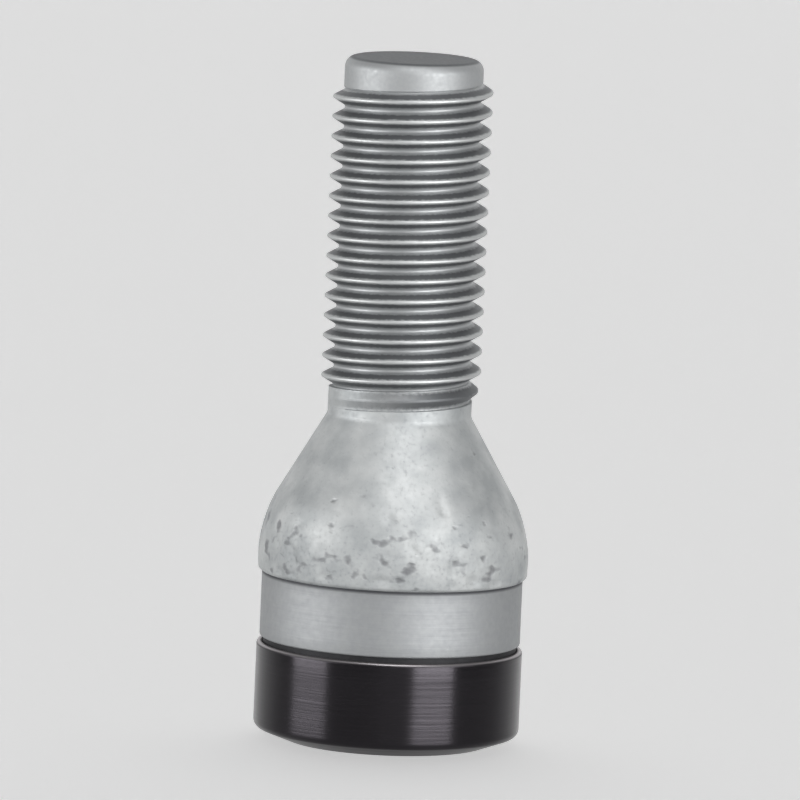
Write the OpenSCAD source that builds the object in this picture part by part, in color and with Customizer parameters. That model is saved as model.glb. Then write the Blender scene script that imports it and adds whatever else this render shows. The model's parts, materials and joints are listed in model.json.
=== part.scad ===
// A locking wheel bolt that stands on its head, threaded end up.
// The forged bolt carries a thin dark cap, pressed over the key end of its head.
// Lengths are in millimetres. z = 0 is the end face and z runs up the axis.

/* [Head] */
// Diameter of the turned band, which is the plain part of the head
band_d = 19.6; // [17:0.1:22]
// Height of the turned band
band_h = 5; // [3:0.1:8]
// How far the forged shoulder stands out beyond the band, on the radius
shoulder_step = 0.35; // [0.1:0.05:1]
// Height of the shoulder's straight side
shoulder_h = 1.4; // [0.6:0.1:3]
// Radius that rounds the shoulder's lower edge
shoulder_edge_round = 0.3; // [0.1:0.05:0.5]
// Radius of the bend that leads the shoulder into the cone seat
shoulder_round = 9; // [3:0.5:10]
// Width of the bevel at the band's lower edge
band_bevel = 0.15; // [0.05:0.05:0.3]

/* [Cone seat] */
// Full angle of the cone that seats in the wheel
seat_angle = 60; // [50:1:75]
// Radius where the cone runs out into the neck
neck_round = 0.8; // [0.5:0.1:3]

/* [Cap] */
// How far the head is turned down under the cap, on the radius
cap_recess = 0.25; // [0.1:0.05:0.5]
// Thickness of the cap's wall
cap_wall = 0.4; // [0.3:0.05:0.6]
// Clearance round the head inside the cap
cap_clearance = 0.05; // [0.02:0.01:0.1]
// Height of the cap, from the end face to its rim
cap_h = 7.3; // [5:0.1:10]
// Gap that shows between the cap's rim and the band
cap_gap = 0.4; // [0.2:0.1:1]
// Width of the bevel round the cap's end, on the radius
cap_bevel_w = 2.4; // [1.6:0.1:3]
// Height of the bevel round the cap's end
cap_bevel_h = 0.9; // [0.5:0.1:1.5]
// Radius that rounds the bevel into the cap's side
cap_corner_round = 0.6; // [0.3:0.1:1]
// Radius that rounds the cap's rim
cap_rim_round = 0.25; // [0.1:0.05:0.3]
// Width of the flat lip between the bevel and the cap's mouth
cap_lip_w = 0.5; // [0.3:0.1:0.8]

/* [Key groove] */
// Mean radius of the closed groove that takes the key
groove_r = 5.1; // [4.6:0.1:5.3]
// Width of the groove
groove_w = 1.3; // [1:0.1:1.5]
// Depth of the groove from the end face
groove_depth = 4; // [2.5:0.5:6]
// Height of the groove's seven short waves
groove_wave = 0.3; // [0.1:0.02:0.34]
// Height of the three long waves that make the groove uneven
groove_sway = 0.4; // [0.1:0.05:0.6]

/* [Shank] */
// Diameter of the plain neck between cone and thread
neck_d = 10.8; // [10.4:0.1:11.4]
// Height of the plain neck
neck_h = 0.2; // [0.2:0.1:3]
// Length of the threaded end, from the neck to the tip
thread_h = 26.5; // [18:0.1:40]
// Major diameter of the thread, over its crests
thread_d = 12; // [11.8:0.1:12.6]
// Rise of the thread in one turn
pitch = 1.5; // [1:0.25:1.75]
// Angle between the thread's flanks
thread_angle = 60; // [55:1:60]
// Turns over which the thread runs out into the neck
run_out_turns = 0.7; // [0.5:0.1:3]
// Turns over which the thread runs out at the tip
run_in_turns = 0.5; // [0.5:0.1:3]
// Direction round the axis in which the thread starts
thread_start = 180; // [0:5:355]
// Diameter of the flat face at the tip
tip_face_d = 8.8; // [8:0.2:9.4]
// Radius that rounds the edge of the tip
tip_round = 0.8; // [0.5:0.1:1.2]

/* [Smoothness] */
// Points in one turn of the thread
thread_steps = 40; // [24:4:48]
// Points round each edge of the key groove
groove_steps = 96; // [60:12:144]
// Straight pieces in each rounded corner of an outline
arc_steps = 8; // [4:1:12]

/* [Hidden] */
$fn = 96;

// Head under the cap, and the cap over it
band_r = band_d / 2;
core_r = band_r - cap_recess;
cap_in_r = core_r + cap_clearance;
cap_r = cap_in_r + cap_wall;
cap_flat_r = cap_r - cap_bevel_w;
cap_mouth_r = cap_flat_r - cap_lip_w;
bevel_slope = cap_bevel_h / cap_bevel_w;
bevel_angle = atan(bevel_slope);

// Heights up the head
band_z = cap_h + cap_gap;
ledge_z = band_z + band_h;
shoulder_z = ledge_z + shoulder_h;
shoulder_r = band_r + shoulder_step;

// Cone seat, between the bend of the shoulder and the bend of the neck
seat_half = seat_angle / 2;
neck_r = neck_d / 2;
seat_low_r = shoulder_r - shoulder_round * (1 - cos(seat_half));
seat_low_z = shoulder_z + shoulder_round * sin(seat_half);
seat_top_r = neck_r + neck_round * (1 - cos(seat_half));
seat_top_z = seat_low_z + (seat_low_r - seat_top_r) / tan(seat_half);
neck_z = seat_top_z + neck_round * sin(seat_half);

// Thread form: sharp triangle cut down to a crest flat and a root flat
thread_z = neck_z + neck_h;
tip_z = thread_z + thread_h;
thread_depth = 17 / 24 * pitch / 2 / tan(thread_angle / 2);
flank_h = thread_depth * tan(thread_angle / 2);
crest_flat = pitch / 8;
root_flat = pitch - crest_flat - 2 * flank_h;
crest_r = thread_d / 2;
root_r = crest_r - thread_depth;
tip_edge_r = tip_face_d / 2 + tip_round;
tip_edge_z = tip_z - tip_round;

// Rows of points that climb the shank: four to a turn, where the form bends
bend_z = [0, root_flat, root_flat + flank_h, root_flat + flank_h + crest_flat];
bend_on_crest = [false, false, true, true];
bends = len(bend_z);
least_land = 0.1;
turns = floor((tip_edge_z - thread_z - least_land) / pitch) - 1;
last_row = bends * turns;
last_step = thread_steps - 1;
// The facets start a little inside the neck and below its end, so that the two overlap
seam_inset = 0.05;
seam_sink = 0.3;

// Points along an arc, from one angle to another
function arc(centre, r, from, to) = [
    for (i = [0 : arc_steps])
        let (a = from + (to - from) * i / arc_steps)
        [centre[0] + r * cos(a), centre[1] + r * sin(a)]
];

// How far a value has come between two others, from 0 to 1
function progress(x, low, high) = max(0, min(1, (x - low) / (high - low)));

// Value between two others
function between(a, b, share) = a + (b - a) * share;

// Splits a polygon's corners into triangles that share the first one
function fan(corners) = [
    for (i = [1 : len(corners) - 2])
        [corners[0], corners[i], corners[i + 1]]
];

// Outline of the bolt below the thread, from the axis outwards and up
function bolt_outline() = concat(
    [[0, 0]],
    [[cap_mouth_r - cap_clearance, 0]],
    [[cap_mouth_r - cap_clearance, cap_wall]],
    [[cap_flat_r - cap_clearance, cap_wall]],
    [[core_r, inner_bevel_z(core_r) + cap_clearance]],
    [[core_r, band_z]],
    [[band_r - band_bevel, band_z]],
    [[band_r, band_z + band_bevel]],
    [[band_r, ledge_z]],
    arc([shoulder_r - shoulder_edge_round, ledge_z + shoulder_edge_round], shoulder_edge_round, -90, 0),
    arc([shoulder_r - shoulder_round, shoulder_z], shoulder_round, 0, seat_half),
    arc([neck_r + neck_round, neck_z], neck_round, 180 + seat_half, 180),
    [[0, neck_z]]
);

// Height of the bevel's inner face at a radius
function inner_bevel_z(r) = (r - cap_flat_r) * bevel_slope + cap_wall / cos(bevel_angle);

// Outline of the cap: outside from the mouth to the rim, then back inside
function cap_outline() =
    let (corner_run = cap_corner_round * tan((90 - bevel_angle) / 2))
    concat(
        [[cap_mouth_r, 0]],
        [[cap_flat_r, 0]],
        arc([cap_r - cap_corner_round, cap_bevel_h + corner_run], cap_corner_round, bevel_angle - 90, 0),
        arc([cap_r - cap_rim_round, cap_h - cap_rim_round], cap_rim_round, 0, 90),
        [[cap_in_r, cap_h]],
        [[cap_in_r, inner_bevel_z(cap_in_r)]],
        [[cap_flat_r, cap_wall]],
        [[cap_mouth_r, cap_wall]]
    );

// Radius of the groove's middle line: seven short waves on three long ones
function groove_line_r(a) = groove_r + groove_wave * cos(7 * a) + groove_sway * cos(3 * a + 50);

// Point of the groove's middle line at an angle
function groove_line(a) = groove_line_r(a) * [cos(a), sin(a)];

// Point beside the middle line, at a distance along its outward normal
function groove_edge(a, distance) =
    let (along = groove_line(a + 0.5) - groove_line(a - 0.5))
    groove_line(a) + distance * [along[1], -along[0]] / norm(along);

// Closed edge of the groove at a distance from its middle line
function groove_ring(distance) = [
    for (i = [0 : groove_steps - 1])
        groove_edge(360 * i / groove_steps, distance)
];

// Height of a row at a step round the shank: it climbs one pitch in a turn
function row_z(row, step) =
    thread_z + pitch * turns_at(row, step) + bend_z[row % bends];

// Turns climbed by a row at a step, from the lower end of the thread
function turns_at(row, step) = floor(row / bends) + step / thread_steps;

// Radius of a row at a step, run out into the neck and into the tip
function row_r(row, step) =
    let (
        climbed = turns_at(row, step),
        full = bend_on_crest[row % bends] ? crest_r : root_r,
        above_neck = between(neck_r, full, progress(climbed, 0, run_out_turns))
    )
    between(above_neck, tip_edge_r, progress(climbed, turns - run_in_turns, turns));

// Point of a ring or row, at a step round the shank
function at_step(r, step, z) =
    let (a = thread_start + 360 * step / thread_steps)
    [r * cos(a), r * sin(a), z];

// Turned band, shoulder, cone seat and neck, with the core under the cap
module head() {
    rotate_extrude() polygon(bolt_outline());
}

// Closed wave-shaped groove in the end face, which only its own key fits
module key_groove() {
    translate([0, 0, -1]) linear_extrude(groove_depth + 1) difference() {
        polygon(groove_ring(groove_w / 2));
        polygon(groove_ring(-groove_w / 2));
    }
}

// Threaded shank: a closed skin of helical rows, with level rings at both ends
module shank() {
    tip_arc = arc([tip_face_d / 2, tip_edge_z], tip_round, 0, 90);
    steps = [0 : last_step];
    rows = [
        for (row = [0 : last_row])
            [for (step = steps) at_step(row_r(row, step), step, row_z(row, step))]
    ];
    base_ring = [for (step = steps) at_step(neck_r - seam_inset, step, neck_z - seam_sink)];
    tip_rings = [for (p = tip_arc) [for (step = steps) at_step(p[0], step, p[1])]];
    rings = concat([base_ring], rows, tip_rings);
    points = [for (ring = rings) for (p = ring) p];
    base = 0;
    first = 1;
    top = first + last_row;
    tip = top + 1;
    end = len(rings) - 1;
    faces = concat(
        // Skin between neighbouring rings, up to the seam
        [
            for (ring = [base : end - 1], step = [0 : last_step - 1])
                for (f = fan([corner(ring, step), corner(ring, step + 1),
                              corner(ring + 1, step + 1), corner(ring + 1, step)])) f
        ],
        // Across the seam each row meets the row one turn above it
        [
            for (ring = [first : top - bends - 1])
                for (f = fan([corner(ring, last_step), corner(ring + bends, 0),
                              corner(ring + bends + 1, 0), corner(ring + 1, last_step)])) f
        ],
        // Level rings of the tip close on themselves
        [
            for (ring = [tip : end - 1])
                for (f = fan([corner(ring, last_step), corner(ring, 0),
                              corner(ring + 1, 0), corner(ring + 1, last_step)])) f
        ],
        // Ends of the helical rows at the seam, above the neck and below the tip
        fan(concat(
            [corner(first, last_step), corner(base, last_step), corner(base, 0)],
            [for (ring = [first : first + bends]) corner(ring, 0)]
        )),
        fan(concat(
            [corner(top, 0), corner(tip, 0), corner(tip, last_step)],
            [for (ring = [top : -1 : top - bends]) corner(ring, last_step)]
        )),
        // Level faces at the neck and at the tip
        fan([for (step = [last_step : -1 : 0]) corner(base, step)]),
        fan([for (step = steps) corner(end, step)])
    );
    polyhedron(points, [for (f = faces) [f[0], f[2], f[1]]]);
}

// Index of a point of the shank's skin
function corner(ring, step) = ring * thread_steps + step;

// The forged and threaded bolt, in one piece
module bolt_body() {
    color("#9c9fa0") difference() {
        union() {
            head();
            shank();
        }
        key_groove();
    }
}

// Thin cap, black-chromed, pressed over the key end of the head
module head_cap() {
    color("#1d191c") rotate_extrude() polygon(cap_outline());
}

bolt_body();
head_cap();
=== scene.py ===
import json
from math import atan2, ceil, cos, floor, pi, radians, sin, tan

import bmesh
import bpy
from mathutils import Matrix, Vector, noise

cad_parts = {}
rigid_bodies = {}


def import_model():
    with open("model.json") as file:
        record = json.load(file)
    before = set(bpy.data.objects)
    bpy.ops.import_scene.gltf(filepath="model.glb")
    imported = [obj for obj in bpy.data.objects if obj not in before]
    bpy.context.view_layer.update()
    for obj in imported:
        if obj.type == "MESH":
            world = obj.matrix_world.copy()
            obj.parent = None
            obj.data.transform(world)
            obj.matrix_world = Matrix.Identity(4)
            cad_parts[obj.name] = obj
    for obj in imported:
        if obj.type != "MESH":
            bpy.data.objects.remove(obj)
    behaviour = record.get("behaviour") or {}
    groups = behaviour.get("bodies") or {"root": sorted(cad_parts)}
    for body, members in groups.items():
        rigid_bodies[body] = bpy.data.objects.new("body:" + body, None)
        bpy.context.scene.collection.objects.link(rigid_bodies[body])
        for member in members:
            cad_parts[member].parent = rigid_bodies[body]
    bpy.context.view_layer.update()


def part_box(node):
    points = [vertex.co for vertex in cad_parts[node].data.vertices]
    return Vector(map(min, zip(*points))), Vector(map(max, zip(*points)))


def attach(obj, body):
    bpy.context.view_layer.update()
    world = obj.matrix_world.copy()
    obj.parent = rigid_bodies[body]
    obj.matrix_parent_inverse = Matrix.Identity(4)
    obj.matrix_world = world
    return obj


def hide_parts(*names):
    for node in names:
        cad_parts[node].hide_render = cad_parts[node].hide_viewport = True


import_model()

mm = 0.001
up = Vector((0, 0, 1))
origin = Vector((0, 0, 0))
aroundSteps = 192  # faces in one turn of every round form
weldGap = 0.002 * mm
bendAngle = 3  # a rounded corner has a face for each 3 degrees
bendLength = 0.1  # or for each 0.1 mm, whichever gives fewer
faceLength = 1.2 * mm  # longest face up a wall
sharpAngle = 38  # edges that turn by more degrees stay crisp
crispBend = 0.05  # mm, the round of a machined edge


# Shared helpers for meshes

def finishPiece(bm, name, body="root"):
    mesh = bpy.data.meshes.new(name)
    bm.to_mesh(mesh)
    bm.free()
    piece = bpy.data.objects.new(name, mesh)
    bpy.context.scene.collection.objects.link(piece)
    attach(piece, body)
    return piece


def drawOutline(bm, corners, closed=False):
    # corners are (radius, height, bend) in mm; a bend above 0 rounds that corner
    verts = [bm.verts.new((r * mm, 0, z * mm)) for r, z, bend in corners]
    for a, b in zip(verts, verts[1:] + verts[:1] if closed else verts[1:]):
        bm.edges.new((a, b))
    for vert, (r, z, bend) in zip(verts, corners):
        if bend:
            ways = [e.other_vert(vert).co - vert.co for e in vert.link_edges]
            turn = pi - ways[0].angle(ways[1])
            segments = max(3, min(ceil(turn / radians(bendAngle)), ceil(bend * turn / bendLength)))
            bmesh.ops.bevel(bm, geom=[vert], offset=bend * mm * tan(turn / 2), offset_type="OFFSET",
                            affect="VERTICES", segments=segments, profile=0.5, material=-1)


def splitLongEdges(bm, longest, fromHeight=-1000, toHeight=1000):
    for edge in list(bm.edges):
        middle = (edge.verts[0].co.z + edge.verts[1].co.z) / 2
        within = fromHeight * mm <= middle <= toHeight * mm
        cuts = ceil(edge.calc_length() / longest) - 1 if within else 0
        if cuts > 0:
            bmesh.ops.subdivide_edges(bm, edges=[edge], cuts=cuts)


def turnOnLathe(bm):
    bmesh.ops.spin(bm, geom=bm.verts[:] + bm.edges[:], cent=origin, axis=up,
                   angle=2 * pi, steps=aroundSteps, use_merge=True)
    weld(bm)


def weld(bm):
    bmesh.ops.remove_doubles(bm, verts=bm.verts[:], dist=weldGap)
    bmesh.ops.recalc_face_normals(bm, faces=bm.faces[:])


def radiusOfSpot(spot):
    return Vector((spot.x, spot.y, 0)).length


def moveOutBy(vert, share):
    vert.co.x *= share
    vert.co.y *= share


def openEdges(bm):
    return len([e for e in bm.edges if not e.is_manifold])


def smoothByAngle(piece):
    bm = bmesh.new()
    bm.from_mesh(piece.data)
    for face in bm.faces:
        face.smooth = True
    for edge in bm.edges:
        if len(edge.link_faces) == 2:
            edge.smooth = edge.calc_face_angle(0) < radians(sharpAngle)
    bm.to_mesh(piece.data)
    bm.free()


# Bolt body: forged head, cone seat and neck, then the rolled thread
# Radii and heights are in mm from the end face up, angles in degrees

bolt = {
    "mouthRadius": 7.05,
    "lipHeight": 0.4,
    "endBevelRadius": 7.55,
    "coreRadius": 9.55,
    "coreBevelTop": 1.21,
    "bandRadius": 9.8,
    "bandBottom": 7.7,
    "bandBevel": 0.15,
    "ledge": 12.7,
    "shoulderRadius": 10.15,
    "shoulderEdge": 0.3,
    "shoulderSide": 1.4,
    "shoulderBend": 9.0,
    "seatHalfAngle": 30,
    "neckRadius": 5.4,
    "neckBend": 0.8,
    "neckHeight": 0.2,
    "tipFaceRadius": 4.4,
    "tipBend": 0.8,
    "tipFaceRings": (4.1, 2.5),  # edge loops on the tip face
}

dents = {
    "size": 1.0,
    "depth": 0.15,
    "reach": 6.5,  # mm above the ledge
    "threshold": 0.44,  # a higher one leaves fewer dents
    "moreBelow": 0.2,  # lowers the threshold towards the ledge
    "rim": 0.22,  # a higher one gives softer rims
    "edgeClear": 0.35,  # mm above the ledge that keep their round
    "faceLength": 0.24,
    "edgeWave": 0.07,
    "edgeWaveSize": 2.4,
    "edgeWaveReach": 1.2,
}

groove = {
    "radius": 5.1,
    "width": 1.3,
    "depth": 4.0,
    "edgeBend": 0.08,
    "innerRing": 3.2,  # edge loop on the end face inside the groove
    "wave": 0.3,
    "waves": 7,
    "sway": 0.4,
    "sways": 3,
    "swayStart": 50,
}

thread = {
    "pitch": 1.5,
    "crestRadius": 6.0,
    "halfAngle": 30,
    "crestBend": 0.11,
    "rootBend": 0.2,
    "runOutTurns": 0.7,
    "runInTurns": 0.5,
    "start": 180,
    "endGap": 0.1,  # mm kept free below the tip's round
    "climbSlack": 0.02,  # turns, so that mid-root counts as the next turn
}


def placeHeights():
    # Heights that follow from the sizes above, in mm, up to the tip of the CAD body
    lean = radians(bolt["seatHalfAngle"])
    run = bolt["shoulderBend"] * tan(lean / 2)
    bolt["seatStart"] = bolt["ledge"] + bolt["shoulderSide"] + run
    bolt["seatEnd"] = bolt["seatStart"] + (bolt["shoulderRadius"] - bolt["neckRadius"]) / tan(lean)
    bolt["neckZ"] = bolt["seatEnd"] + bolt["neckBend"] * tan(lean / 2)
    bolt["tipZ"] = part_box("bolt_body")[1].z / mm
    bolt["tipEdgeZ"] = bolt["tipZ"] - bolt["tipBend"]
    bolt["tipEdgeRadius"] = bolt["tipFaceRadius"] + bolt["tipBend"]
    pitch = thread["pitch"]
    slope = tan(radians(thread["halfAngle"]))
    thread["depth"] = 17 / 24 * pitch / 2 / slope
    thread["flank"] = thread["depth"] * slope
    thread["crestFlat"] = pitch / 8
    thread["rootFlat"] = pitch - thread["crestFlat"] - 2 * thread["flank"]
    thread["rootRadius"] = thread["crestRadius"] - thread["depth"]
    thread["bottom"] = bolt["neckZ"] + bolt["neckHeight"]
    thread["turns"] = floor((bolt["tipEdgeZ"] - thread["bottom"] - thread["endGap"]) / pitch) - 1


def grooveLine(angle):
    radius = (groove["radius"] + groove["wave"] * cos(groove["waves"] * angle)
              + groove["sway"] * cos(groove["sways"] * angle + radians(groove["swayStart"])))
    return Vector((cos(angle), sin(angle), 0)) * radius * mm


def waveGroove(bm):
    # The groove is turned round first, then its edges are moved onto the wavy line
    reach = (groove["width"] / 2 + 2 * groove["edgeBend"]) * mm
    nudge = 0.01  # radians to each side, for the direction of the line
    for vert in bm.verts:
        offset = radiusOfSpot(vert.co) - groove["radius"] * mm
        if abs(offset) < reach and vert.co.z < (groove["depth"] + 0.1) * mm:
            angle = atan2(vert.co.y, vert.co.x)
            along = grooveLine(angle + nudge) - grooveLine(angle - nudge)
            outward = Vector((along.y, -along.x, 0)).normalized()
            spot = grooveLine(angle) + outward * offset
            vert.co.x, vert.co.y = spot.x, spot.y


def dentForging(bm):
    # Small dents of the forging, most frequent low on the shoulder, and a faint wave in its edge
    slack = 0.01  # mm
    for vert in bm.verts:
        above = vert.co.z / mm - bolt["ledge"]
        radius = radiusOfSpot(vert.co) / mm
        onBand = radius <= bolt["bandRadius"] + slack and above <= slack
        if -slack / 100 < above < dents["reach"] and not onBand:
            low = dents["moreBelow"] * (1 - above / dents["reach"])
            spot = noise.noise(vert.co / (dents["size"] * mm)) - dents["threshold"] + low
            share = min(1, max(0, spot / dents["rim"]))
            dent = dents["depth"] * share ** 2 * (3 - 2 * share) * min(1, above / dents["edgeClear"])
            sway = noise.noise(vert.co / (dents["edgeWaveSize"] * mm)) * 0.5 + 0.5
            sway *= dents["edgeWave"] * max(0, 1 - above / dents["edgeWaveReach"])
            moveOutBy(vert, 1 - (dent + sway) / radius)


def buildHead():
    inner = groove["radius"] - groove["width"] / 2
    outer = groove["radius"] + groove["width"] / 2
    depth = groove["depth"]
    edge = groove["edgeBend"]
    bm = bmesh.new()
    drawOutline(bm, [
        (0, 0, 0),
        (groove["innerRing"], 0, 0),
        (inner, 0, edge),
        (inner, depth, edge),
        (outer, depth, edge),
        (outer, 0, edge),
        (bolt["mouthRadius"], 0, crispBend),
        (bolt["mouthRadius"], bolt["lipHeight"], 0),
        (bolt["endBevelRadius"], bolt["lipHeight"], 0),
        (bolt["coreRadius"], bolt["coreBevelTop"], 0),
        (bolt["coreRadius"], bolt["bandBottom"], 0),
        (bolt["bandRadius"], bolt["bandBottom"], bolt["bandBevel"]),
        (bolt["bandRadius"], bolt["ledge"], crispBend),
        (bolt["shoulderRadius"], bolt["ledge"], bolt["shoulderEdge"]),
        (bolt["shoulderRadius"], bolt["seatStart"], bolt["shoulderBend"]),
        (bolt["neckRadius"], bolt["seatEnd"], bolt["neckBend"]),
        (bolt["neckRadius"], bolt["neckZ"], 0),
    ])
    splitLongEdges(bm, dents["faceLength"] * mm, bolt["ledge"], bolt["ledge"] + dents["reach"])
    splitLongEdges(bm, faceLength)
    turnOnLathe(bm)
    waveGroove(bm)
    dentForging(bm)
    return bm


def turnsClimbed(spot):
    # Turns from the foot of the thread to a point of its surface, counted from mid-root
    share = ((atan2(spot.y, spot.x) - radians(thread["start"])) / (2 * pi)) % 1
    if share > 1 - 1e-3:  # a whole turn is the start again
        share -= 1
    height = (spot.z / mm - thread["bottom"] - thread["rootFlat"] / 2) / thread["pitch"]
    return floor(height - share + thread["climbSlack"]) + share


def fadeThread(bm):
    # Crests and roots run out into the neck below and into the tip above
    rolled = bm.verts.layers.float.new("rolled")
    for vert in bm.verts:
        radius = radiusOfSpot(vert.co)
        climbed = turnsClimbed(vert.co)
        past = climbed - thread["turns"] + thread["runInTurns"]
        low = min(1, max(0, climbed / thread["runOutTurns"]))
        high = min(1, max(0, past / thread["runInTurns"]))
        target = bolt["neckRadius"] * mm * (1 - low) + radius * low
        target = target * (1 - high) + bolt["tipEdgeRadius"] * mm * high
        vert[rolled] = low * (1 - high)
        moveOutBy(vert, target / radius)


def threadForm():
    # One turn's outline from mid-root to mid-root, over the flanks and the crest flat
    foot = thread["bottom"]
    midRoot = foot + thread["rootFlat"] / 2
    rootTop = foot + thread["rootFlat"]
    crestLow = rootTop + thread["flank"]
    crestTop = crestLow + thread["crestFlat"]
    root = thread["rootRadius"]
    crest = thread["crestRadius"]
    return [
        (root, midRoot, 0),
        (root, rootTop, thread["rootBend"]),
        (crest, crestLow, thread["crestBend"]),
        (crest, crestTop, thread["crestBend"]),
        (root, foot + thread["pitch"], thread["rootBend"]),
        (root, midRoot + thread["pitch"], 0),
    ]


def levelEnd(bm, height, clearAbove):
    # Cuts the thread off level and leaves one vertex to a step on the cut
    level = Vector((0, 0, height * mm))
    for vert in bm.verts:
        if abs(vert.co.z - level.z) < 2 * weldGap:
            vert.co.z = level.z
    bmesh.ops.bisect_plane(bm, geom=bm.verts[:] + bm.edges[:] + bm.faces[:], dist=1e-8,
                           plane_co=level, plane_no=up,
                           clear_outer=clearAbove, clear_inner=not clearAbove)
    onCut = [v for v in bm.verts if abs(v.co.z - level.z) < 1e-7]
    bmesh.ops.dissolve_verts(bm, verts=[v for v in onCut if offStep(v)])


def offStep(vert):
    # True for a vertex between two of the steps round the axis
    step = atan2(vert.co.y, vert.co.x) / (2 * pi) * aroundSteps
    return abs(step - round(step)) > 0.01


def buildThread():
    pitch = thread["pitch"] * mm
    bm = bmesh.new()
    drawOutline(bm, threadForm())
    bmesh.ops.spin(bm, geom=bm.verts[:] + bm.edges[:], cent=origin, axis=up,
                   dvec=up * (pitch / aroundSteps), angle=2 * pi, steps=aroundSteps)
    oneTurn = bm.verts[:] + bm.edges[:] + bm.faces[:]
    for turn in range(-2, thread["turns"] + 3):
        if turn:
            copy = bmesh.ops.duplicate(bm, geom=oneTurn)["geom"]
            verts = [g for g in copy if isinstance(g, bmesh.types.BMVert)]
            bmesh.ops.translate(bm, verts=verts, vec=up * (pitch * turn))
    weld(bm)
    bmesh.ops.rotate(bm, verts=bm.verts[:], cent=origin,
                     matrix=Matrix.Rotation(radians(thread["start"]), 3, "Z"))
    fadeThread(bm)
    levelEnd(bm, bolt["neckZ"], clearAbove=False)
    levelEnd(bm, bolt["tipEdgeZ"], clearAbove=True)
    return bm


def buildTip():
    # The bend is a hair less than its full size, so that no edge of zero length is left
    outerRing, innerRing = bolt["tipFaceRings"]
    bm = bmesh.new()
    drawOutline(bm, [
        (bolt["tipEdgeRadius"], bolt["tipEdgeZ"], 0),
        (bolt["tipEdgeRadius"], bolt["tipZ"], bolt["tipBend"] * 0.999),
        (outerRing, bolt["tipZ"], 0),
        (innerRing, bolt["tipZ"], 0),
        (0, bolt["tipZ"], 0),
    ])
    turnOnLathe(bm)
    return bm


def buildBolt():
    bm = buildHead()
    bm.verts.layers.float.new("rolled")
    for part in (buildThread(), buildTip()):
        spare = bpy.data.meshes.new("spare")
        part.to_mesh(spare)
        part.free()
        bm.from_mesh(spare)
        bpy.data.meshes.remove(spare)
    weld(bm)
    print("bolt body:", len(bm.faces), "faces,", openEdges(bm), "open edges")
    piece = finishPiece(bm, "boltBody")
    smoothByAngle(piece)
    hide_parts("bolt_body")
    return piece


# Cap: thin shell pressed over the key end of the head, sizes in mm

cap = {
    "clearance": 0.05,
    "wall": 0.4,
    "bevelWidth": 2.4,
    "bevelHeight": 0.9,
    "cornerBend": 0.6,
    "rimBend": 0.25,
    "innerRimBend": 0.06,
    "lipWidth": 0.5,
    "lipBend": 0.3,
    "mouthBend": 0.1,
}


def buildCap():
    inside = bolt["coreRadius"] + cap["clearance"]
    side = inside + cap["wall"]
    flat = side - cap["bevelWidth"]
    mouth = flat - cap["lipWidth"]
    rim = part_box("head_cap")[1].z / mm
    slope = cap["bevelHeight"] / cap["bevelWidth"]
    innerBevel = (inside - flat) * slope + cap["wall"] * (1 + slope ** 2) ** 0.5
    bm = bmesh.new()
    drawOutline(bm, [
        (mouth, cap["wall"], crispBend),
        (mouth, 0, cap["mouthBend"]),
        (flat, 0, cap["lipBend"]),
        (side, cap["bevelHeight"], cap["cornerBend"]),
        (side, rim, cap["rimBend"]),
        (inside, rim, cap["innerRimBend"]),
        (inside, innerBevel, 0),
        (flat, cap["wall"], 0),
    ], closed=True)
    splitLongEdges(bm, faceLength)
    turnOnLathe(bm)
    print("cap:", len(bm.faces), "faces,", openEdges(bm), "open edges")
    piece = finishPiece(bm, "headCap")
    smoothByAngle(piece)
    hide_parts("head_cap")
    return piece


# Materials

def hexColour(code):
    parts = [int(code[i:i + 2], 16) / 255 for i in (1, 3, 5)]
    return [c / 12.92 if c <= 0.04045 else ((c + 0.055) / 1.055) ** 2.4 for c in parts] + [1]


def addNode(tree, kind, settings=None, inputs=None):
    node = tree.nodes.new(kind)
    for key, value in (settings or {}).items():
        setattr(node, key, value)
    for key, value in (inputs or {}).items():
        if isinstance(value, bpy.types.NodeSocket):
            tree.links.new(value, node.inputs[key])
        else:
            node.inputs[key].default_value = value
    return node


def startMaterial(name):
    material = bpy.data.materials.new(name)
    material.use_nodes = True
    tree = material.node_tree
    tree.nodes.clear()
    shader = addNode(tree, "ShaderNodeBsdfPrincipled")
    addNode(tree, "ShaderNodeOutputMaterial", inputs={"Surface": shader.outputs[0]})
    place = addNode(tree, "ShaderNodeTexCoord").outputs["Object"]
    return material, tree, shader, place


# Most of a noise lies between these two values
noiseSpread = (0.3, 0.7)


def spots(tree, place, size, detail=2.0):
    # Noise whose blotches are about size mm across, from 0 to 1
    return addNode(tree, "ShaderNodeTexNoise", {"noise_dimensions": "3D"}, {
        "Vector": place, "Scale": 1 / (size * mm), "Detail": detail, "Roughness": 0.5}).outputs["Fac"]


def stretch(tree, place, scale):
    # A scale below 1 draws the pattern out that way
    return addNode(tree, "ShaderNodeMapping", inputs={"Vector": place, "Scale": scale}).outputs[0]


def remap(tree, value, low, high, toLow=0.0, toHigh=1.0, smooth=False):
    kind = "SMOOTHSTEP" if smooth else "LINEAR"
    return addNode(tree, "ShaderNodeMapRange", {"interpolation_type": kind}, {
        "Value": value, "From Min": low, "From Max": high,
        "To Min": toLow, "To Max": toHigh}).outputs["Result"]


def combine(tree, operation, a, b):
    return addNode(tree, "ShaderNodeMath", {"operation": operation}, {0: a, 1: b}).outputs[0]


def blendColours(tree, share, first, second):
    # Inputs 6 and 7 and output 2 of a Mix node are its colours
    mix = addNode(tree, "ShaderNodeMix", {"data_type": "RGBA"}, {0: share, 6: first, 7: second})
    return mix.outputs[2]


def heightOf(tree, place):
    return addNode(tree, "ShaderNodeSeparateXYZ", inputs={0: place}).outputs["Z"]


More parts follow.
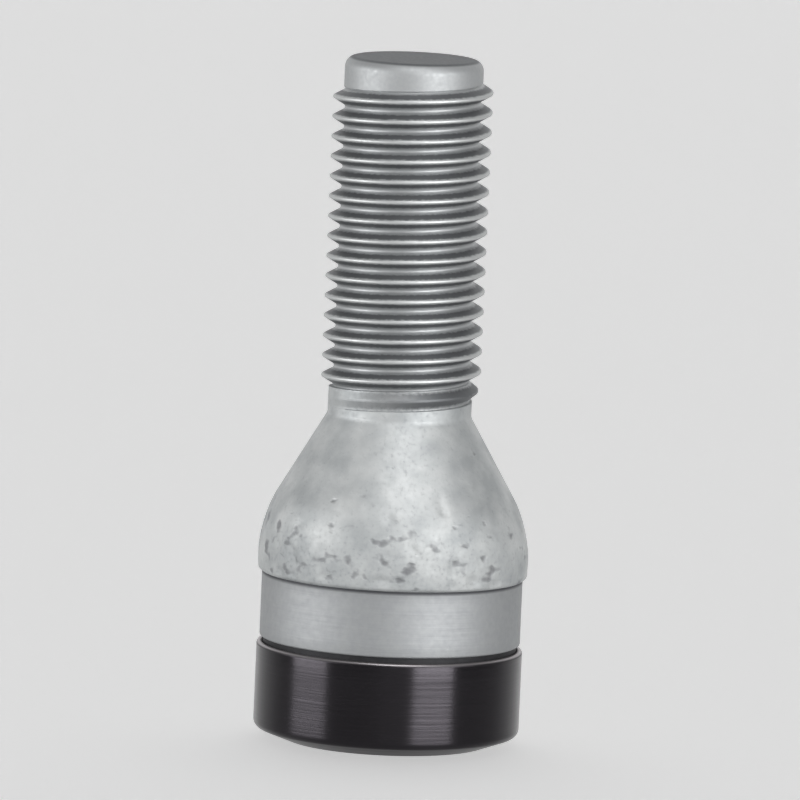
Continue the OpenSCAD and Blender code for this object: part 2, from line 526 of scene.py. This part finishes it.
def radiusOf(tree, place):
    kind = "ShaderNodeVectorMath"
    flat = addNode(tree, kind, {"operation": "MULTIPLY"}, {0: place, 1: (1, 1, 0)}).outputs[0]
    return addNode(tree, kind, {"operation": "LENGTH"}, {0: flat}).outputs["Value"]


def bumpBy(tree, height, depth, normal=None):
    # depth is the real height of the relief in mm
    inputs = {"Height": height, "Distance": depth * mm, "Strength": 1.0}
    if normal:
        inputs["Normal"] = normal
    return addNode(tree, "ShaderNodeBump", inputs=inputs).outputs["Normal"]


# All coated steel: the flakes shine like metal, the binder between them does not
zincMetallic = 0.85

forgedFinish = {
    "light": "#BBBDBD",
    "dark": "#A4A7A8",
    # pit colour: the darker specks of the grain, and a painted shade in the dents
    "pit": "#707174",
    "blotch": 2.6,  # mm, as all sizes here
    "blotchEdges": (0.35, 0.65),
    "grain": 0.3,  # real flakes are about 0.02 mm; drawn coarser so that they show
    "grainDepth": 0.006,
    "grainEdges": (0.58, 0.75),
    "grainTone": 0.2,
    "pitSize": 1.3,
    "pitSquash": 1.5,
    "pitEdges": (0.57, 0.74),
    "pitShadeStrength": 0.7,
    "pitDepth": 0.08,
    "pitFade": (2.5, 7.5),  # mm up from the ledge
    "pitFadeBy": 0.14,
    "roughness": (0.56, 0.66),
    "mattFade": (2, 6),  # mm up from the ledge
    "matt": 0.16,  # more roughness at the ledge
}


def aboveLedge(heights):
    return [(bolt["ledge"] + height) * mm for height in heights]


def forgedTone(tree, place, grain):
    blotch = spots(tree, place, forgedFinish["blotch"], detail=3)
    tone = blendColours(tree, remap(tree, blotch, *forgedFinish["blotchEdges"]),
                        hexColour(forgedFinish["light"]), hexColour(forgedFinish["dark"]))
    dark = remap(tree, grain, *forgedFinish["grainEdges"], 0, forgedFinish["grainTone"])
    return blendColours(tree, dark, tone, hexColour(forgedFinish["pit"]))


def forgedZincFlake():
    # Forged steel skin under a grey zinc-flake coat: satin, a little blotchy, with small dents darkened
    # by painted shade
    material, tree, shader, place = startMaterial("forgedZincFlake")
    grain = spots(tree, place, forgedFinish["grain"], detail=3)
    tone = forgedTone(tree, place, grain)
    squat = stretch(tree, place, (1, 1, forgedFinish["pitSquash"]))
    holes = spots(tree, squat, forgedFinish["pitSize"], detail=1.5)
    height = heightOf(tree, place)
    fewer = remap(tree, height, *aboveLedge(forgedFinish["pitFade"]),
                  0, forgedFinish["pitFadeBy"], smooth=True)
    holes = combine(tree, "SUBTRACT", holes, fewer)
    pits = remap(tree, holes, *forgedFinish["pitEdges"], smooth=True)
    # Painted shade: the dents are darkened towards the pit colour
    tone = blendColours(tree, combine(tree, "MULTIPLY", pits, forgedFinish["pitShadeStrength"]),
                        tone, hexColour(forgedFinish["pit"]))
    skin = bumpBy(tree, grain, forgedFinish["grainDepth"])
    skin = bumpBy(tree, combine(tree, "MULTIPLY", pits, -1.0), forgedFinish["pitDepth"], skin)
    matt = remap(tree, height, *aboveLedge(forgedFinish["mattFade"]), forgedFinish["matt"], 0)
    rough = remap(tree, grain, *noiseSpread, *forgedFinish["roughness"])
    tree.links.new(tone, shader.inputs["Base Color"])
    tree.links.new(combine(tree, "ADD", rough, matt), shader.inputs["Roughness"])
    tree.links.new(skin, shader.inputs["Normal"])
    shader.inputs["Metallic"].default_value = zincMetallic
    return material


turnedFinish = {
    "light": "#999B9C",
    "dark": "#949698",
    # painted shadow under the overhanging ledge, and where it fades out
    "ledgeShadow": "#505154",
    "ledgeShadowFade": (-0.32, -0.12),  # mm up from the ledge
    "line": 0.2,  # real tool marks are about 0.1 mm apart; drawn coarser so that they show
    "lineDepth": 0.012,
    "lineSquash": 0.03,  # draws the spots out into rings
    "grain": 0.5,  # cloudiness of the coat
    "grainEdges": (0.35, 0.75),
    "roughness": (0.59, 0.63),
}


def turnedZincFlake():
    # Band turned on a lathe before it was coated: smoother, with faint rings and a painted shadow under
    # the ledge
    material, tree, shader, place = startMaterial("turnedZincFlake")
    squash = turnedFinish["lineSquash"]
    rings = spots(tree, stretch(tree, place, (squash, squash, 1)), turnedFinish["line"])
    grain = spots(tree, place, turnedFinish["grain"], detail=3)
    tone = blendColours(tree, remap(tree, grain, *turnedFinish["grainEdges"]),
                        hexColour(turnedFinish["light"]), hexColour(turnedFinish["dark"]))
    # Painted shadow: the top of the band darkens where the ledge overhangs it
    shadowUnderLedge = remap(tree, heightOf(tree, place), *aboveLedge(turnedFinish["ledgeShadowFade"]))
    tone = blendColours(tree, shadowUnderLedge, tone, hexColour(turnedFinish["ledgeShadow"]))
    rough = remap(tree, grain, *noiseSpread, *turnedFinish["roughness"])
    tree.links.new(tone, shader.inputs["Base Color"])
    tree.links.new(rough, shader.inputs["Roughness"])
    tree.links.new(bumpBy(tree, rings, turnedFinish["lineDepth"]), shader.inputs["Normal"])
    shader.inputs["Metallic"].default_value = zincMetallic
    return material


coreGapShadeFinish = {
    "dark": "#232325",
    "light": "#343436",
    "grain": 0.4,
    "roughness": 0.6,
    "metallic": 0.7,
}


def coreGapShade():
    # Core inside the cap and in the gap above it: dark and dull, a painted shade for the gap between the
    # cap's rim and the band
    material, tree, shader, place = startMaterial("coreGapShade")
    grain = spots(tree, place, coreGapShadeFinish["grain"])
    tone = blendColours(tree, grain, hexColour(coreGapShadeFinish["dark"]), hexColour(coreGapShadeFinish["light"]))
    tree.links.new(tone, shader.inputs["Base Color"])
    shader.inputs["Roughness"].default_value = coreGapShadeFinish["roughness"]
    shader.inputs["Metallic"].default_value = coreGapShadeFinish["metallic"]
    return material


rolledFinish = {
    # Painted light and shade: pale roots, dark flanks and bright crests stand in for how the lamps fall
    # on the thread; the crests are also rubbed
    "root": "#A8AAAB",
    "flank": "#67696B",
    "crest": "#B6B8B8",
    "tipSide": "#A2A4A5",
    "tipFace": "#686A6C",
    "flankShadeFade": (0.12, 0.34),  # mm out from the root, where the painted shade of the flanks begins
    "crestHighlightFade": (-0.26, -0.05),  # mm out from the crest, where the painted highlight of the crests begins
    "tipFaceFade": (-0.2, -0.06),  # mm up from the tip face
    "ragged": (-0.05, 0.05),  # how far the two fades above wander, in mm
    "halfway": 10,  # mm above the foot of the thread
    "rolledFade": (0.05, 0.5),
    "grainDepth": 0.006,
    "roughness": (0.48, 0.58),
    "matt": 0.08,  # more roughness where no thread is rolled
}


def rolledZincFlake():
    # Rolled thread: painted shade on the flanks, painted light in the roots, crests rubbed and with a
    # painted highlight
    material, tree, shader, place = startMaterial("rolledZincFlake")
    grain = spots(tree, place, forgedFinish["grain"], detail=3)
    height = heightOf(tree, place)
    ragged = remap(tree, grain, *noiseSpread, *[edge * mm for edge in rolledFinish["ragged"]])
    paintedLightGauge = combine(tree, "ADD", radiusOf(tree, place), ragged)

    def fadeIn(value, zero, name):
        low, high = [(zero + edge) * mm for edge in rolledFinish[name]]
        return remap(tree, value, low, high, smooth=True)

    # Painted light and shade by radius: pale roots, dark flanks, bright crests
    tone = blendColours(tree, fadeIn(paintedLightGauge, thread["rootRadius"], "flankShadeFade"),
                        hexColour(rolledFinish["root"]), hexColour(rolledFinish["flank"]))
    tone = blendColours(tree, fadeIn(paintedLightGauge, thread["crestRadius"], "crestHighlightFade"),
                        tone, hexColour(rolledFinish["crest"]))
    rolled = addNode(tree, "ShaderNodeAttribute", {"attribute_name": "rolled"}).outputs["Fac"]
    # Where no thread is rolled: the neck is like the cone, and the tip is a little darker
    halfway = (thread["bottom"] + rolledFinish["halfway"]) * mm
    plain = blendColours(tree, remap(tree, height, halfway, halfway + mm),
                         forgedTone(tree, place, grain), hexColour(rolledFinish["tipSide"]))
    tone = blendColours(tree, remap(tree, rolled, *rolledFinish["rolledFade"], smooth=True), plain, tone)
    tone = blendColours(tree, fadeIn(height, bolt["tipZ"], "tipFaceFade"),
                        tone, hexColour(rolledFinish["tipFace"]))
    matt = remap(tree, rolled, 0, 1, rolledFinish["matt"], 0)
    rough = remap(tree, grain, *noiseSpread, *rolledFinish["roughness"])
    tree.links.new(tone, shader.inputs["Base Color"])
    tree.links.new(combine(tree, "ADD", rough, matt), shader.inputs["Roughness"])
    tree.links.new(bumpBy(tree, grain, rolledFinish["grainDepth"]), shader.inputs["Normal"])
    shader.inputs["Metallic"].default_value = zincMetallic
    return material


capFinish = {
    "colour": "#333134",
    # painted highlight along the top of the rim, where its edge catches the lamps
    "rimHighlight": "#9A9698",
    "rimHighlightFade": (-0.2, -0.08),  # mm up from the rim
    "line": 0.24,  # real polishing lines are below 0.05 mm; drawn coarser so that they show
    "lineDepth": 0.02,
    "lineSquash": 0.02,
    "roughness": 0.29,
    "rimRoughness": 0.42,
    "streak": 0.9,
    "streakTurn": 0.25,  # a quarter turn, so that the streaks stand upright
}


def blackChrome(name, roughness, streak):
    # Dark chrome plate over fine turning rings: nearly black, lamps spread into upright streaks, with a
    # painted highlight along the rim
    material, tree, shader, place = startMaterial(name)
    squash = capFinish["lineSquash"]
    rings = spots(tree, stretch(tree, place, (squash, squash, 1)), capFinish["line"])
    around = addNode(tree, "ShaderNodeTangent", {"direction_type": "RADIAL", "axis": "Z"}).outputs[0]
    tree.links.new(around, shader.inputs["Tangent"])
    tree.links.new(bumpBy(tree, rings, capFinish["lineDepth"]), shader.inputs["Normal"])
    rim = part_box("head_cap")[1].z
    # Painted highlight: the top of the rim is paler
    low, high = [rim + edge * mm for edge in capFinish["rimHighlightFade"]]
    paintedLightGauge = remap(tree, heightOf(tree, place), low, high, smooth=True)
    tone = blendColours(tree, paintedLightGauge, hexColour(capFinish["colour"]), hexColour(capFinish["rimHighlight"]))
    tree.links.new(tone, shader.inputs["Base Color"])
    shader.inputs["Metallic"].default_value = 1.0
    shader.inputs["Roughness"].default_value = roughness
    shader.inputs["Anisotropic"].default_value = streak
    shader.inputs["Anisotropic Rotation"].default_value = capFinish["streakTurn"]
    return material


def dressBolt(piece):
    # Slots: 0 forged shoulder, cone and neck, 1 turned band, 2 rolled thread, 3 core, painted dark as
    # the shade in the gap under the cap
    for material in (forgedZincFlake(), turnedZincFlake(), rolledZincFlake(), coreGapShade()):
        piece.data.materials.append(material)
    slack = 0.02  # mm
    for face in piece.data.polygons:
        height = face.center.z / mm
        radius = radiusOfSpot(face.center) / mm
        # Core faces take the dark material, a painted shade for the gap between the cap's rim and the
        # band
        if height < bolt["bandBottom"] + slack and radius > bolt["mouthRadius"] + slack:
            face.material_index = 3
        elif height < bolt["ledge"]:
            face.material_index = 1
        elif height > bolt["neckZ"]:
            face.material_index = 2


def dressCap(piece):
    # Slots: 0 the plated shell, 1 its rim, rubbed dull, where no streaks form, and paler on top as a
    # painted highlight
    piece.data.materials.append(blackChrome("blackChrome", capFinish["roughness"], capFinish["streak"]))
    piece.data.materials.append(blackChrome("dullChromeRimHighlight", capFinish["rimRoughness"], 0))
    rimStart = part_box("head_cap")[1].z / mm - cap["rimBend"]
    for face in piece.data.polygons:
        if face.center.z / mm > rimStart:
            face.material_index = 1


# Stage, lights and camera

stage = {
    "floorColour": "#F4F4F4",
    "roughness": 0.9,
    "specular": 0.1,
    "halfWidth": 3.0,  # metres, as all sizes here
    "front": -4.0,
    "back": 1.6,
    "wallHeight": 3.0,
    "cornerBend": 1.0,
    "cornerSteps": 24,
    "glow": 0.58,  # shows to the camera and in reflections only
}


def buildStage():
    # Floor and back wall in one sheet with a wide bend
    bm = bmesh.new()
    side = ((stage["front"], 0), (stage["back"], 0), (stage["back"], stage["wallHeight"]))
    corners = [bm.verts.new((0, y, z)) for y, z in side]
    for a, b in zip(corners, corners[1:]):
        bm.edges.new((a, b))
    bmesh.ops.bevel(bm, geom=[corners[1]], offset=stage["cornerBend"], offset_type="OFFSET",
                    affect="VERTICES", segments=stage["cornerSteps"], profile=0.5, material=-1)
    sheet = bmesh.ops.extrude_edge_only(bm, edges=bm.edges[:])["geom"]
    moved = [g for g in sheet if isinstance(g, bmesh.types.BMVert)]
    bmesh.ops.translate(bm, verts=moved, vec=(2 * stage["halfWidth"], 0, 0))
    bmesh.ops.translate(bm, verts=bm.verts[:], vec=(-stage["halfWidth"], 0, 0))
    for face in bm.faces:
        face.smooth = True
    mesh = bpy.data.meshes.new("sweep")
    bm.to_mesh(mesh)
    bm.free()
    sweep = bpy.data.objects.new("sweep", mesh)
    bpy.context.scene.collection.objects.link(sweep)
    material, tree, shader, place = startMaterial("paleCard")
    shader.inputs["Base Color"].default_value = hexColour(stage["floorColour"])
    shader.inputs["Roughness"].default_value = stage["roughness"]
    shader.inputs["Specular IOR Level"].default_value = stage["specular"]
    path = addNode(tree, "ShaderNodeLightPath").outputs
    seen = combine(tree, "MAXIMUM", path["Is Camera Ray"], path["Is Glossy Ray"])
    seen = combine(tree, "MAXIMUM", seen, path["Is Transmission Ray"])
    shader.inputs["Emission Color"].default_value = hexColour(stage["floorColour"])
    tree.links.new(combine(tree, "MULTIPLY", seen, stage["glow"]), shader.inputs["Emission Strength"])
    sweep.data.materials.append(material)


lamps = [
    # name, azimuth from the camera, elevation, distance, width and height in metres, power in W
    ("leftSoftbox", -72, 6, 1.10, 0.68, 0.24, 7.6),
    ("rightSoftbox", 40, 6, 1.20, 0.76, 0.26, 12.6),
    ("topSoftbox", 11, 56, 0.80, 0.36, 0.50, 3.5),
]


def aimAt(thing, target):
    thing.rotation_euler = (target - thing.location).to_track_quat("-Z", "Y").to_euler()


def addLamps():
    centre = Vector((0, 0, 20 * mm))
    for name, azimuth, elevation, distance, width, height, power in lamps:
        light = bpy.data.lights.new(name, "AREA")
        light.shape = "RECTANGLE"
        light.size = width
        light.size_y = height
        light.energy = power
        lamp = bpy.data.objects.new(name, light)
        bpy.context.scene.collection.objects.link(lamp)
        lamp.visible_camera = False
        turn, tilt = radians(azimuth), radians(elevation)
        way = Vector((sin(turn) * cos(tilt), -cos(turn) * cos(tilt), sin(tilt)))
        lamp.location = centre + distance * way
        aimAt(lamp, centre)


view = {
    "elevation": 7.4,
    "roll": 2.5,
    "distance": 0.98,
    "framed": 0.060,  # metres across the picture at the bolt
    "filmWidth": 36,  # mm
    "farEnd": 20,
    "worldColour": "#F2F2F2",
    "worldStrength": 0.26,
}


def addCamera():
    camera = bpy.data.cameras.new("camera")
    camera.sensor_width = view["filmWidth"]
    camera.lens = camera.sensor_width * view["distance"] / view["framed"]
    camera.clip_end = view["farEnd"]
    eye = bpy.data.objects.new("camera", camera)
    bpy.context.scene.collection.objects.link(eye)
    target = Vector((0, 0, bolt["tipZ"] * mm / 2))
    tilt = radians(view["elevation"])
    eye.location = target + view["distance"] * Vector((0, -cos(tilt), sin(tilt)))
    aimAt(eye, target)
    roll = Matrix.Rotation(radians(view["roll"]), 4, "Z")
    eye.matrix_world = Matrix.LocRotScale(eye.location, eye.rotation_euler, None) @ roll
    bpy.context.scene.camera = eye


def addWorld():
    world = bpy.data.worlds.new("studio")
    world.use_nodes = True
    ground = world.node_tree.nodes["Background"]
    ground.inputs["Color"].default_value = hexColour(view["worldColour"])
    ground.inputs["Strength"].default_value = view["worldStrength"]
    bpy.context.scene.world = world


placeHeights()
boltBody = buildBolt()
print("bolt built")
headCap = buildCap()
print("cap built")
dressBolt(boltBody)
dressCap(headCap)
print("finishes on")
buildStage()
addLamps()
addWorld()
addCamera()
bpy.context.scene.view_settings.view_transform = "Standard"
print("stage, lights and camera set")
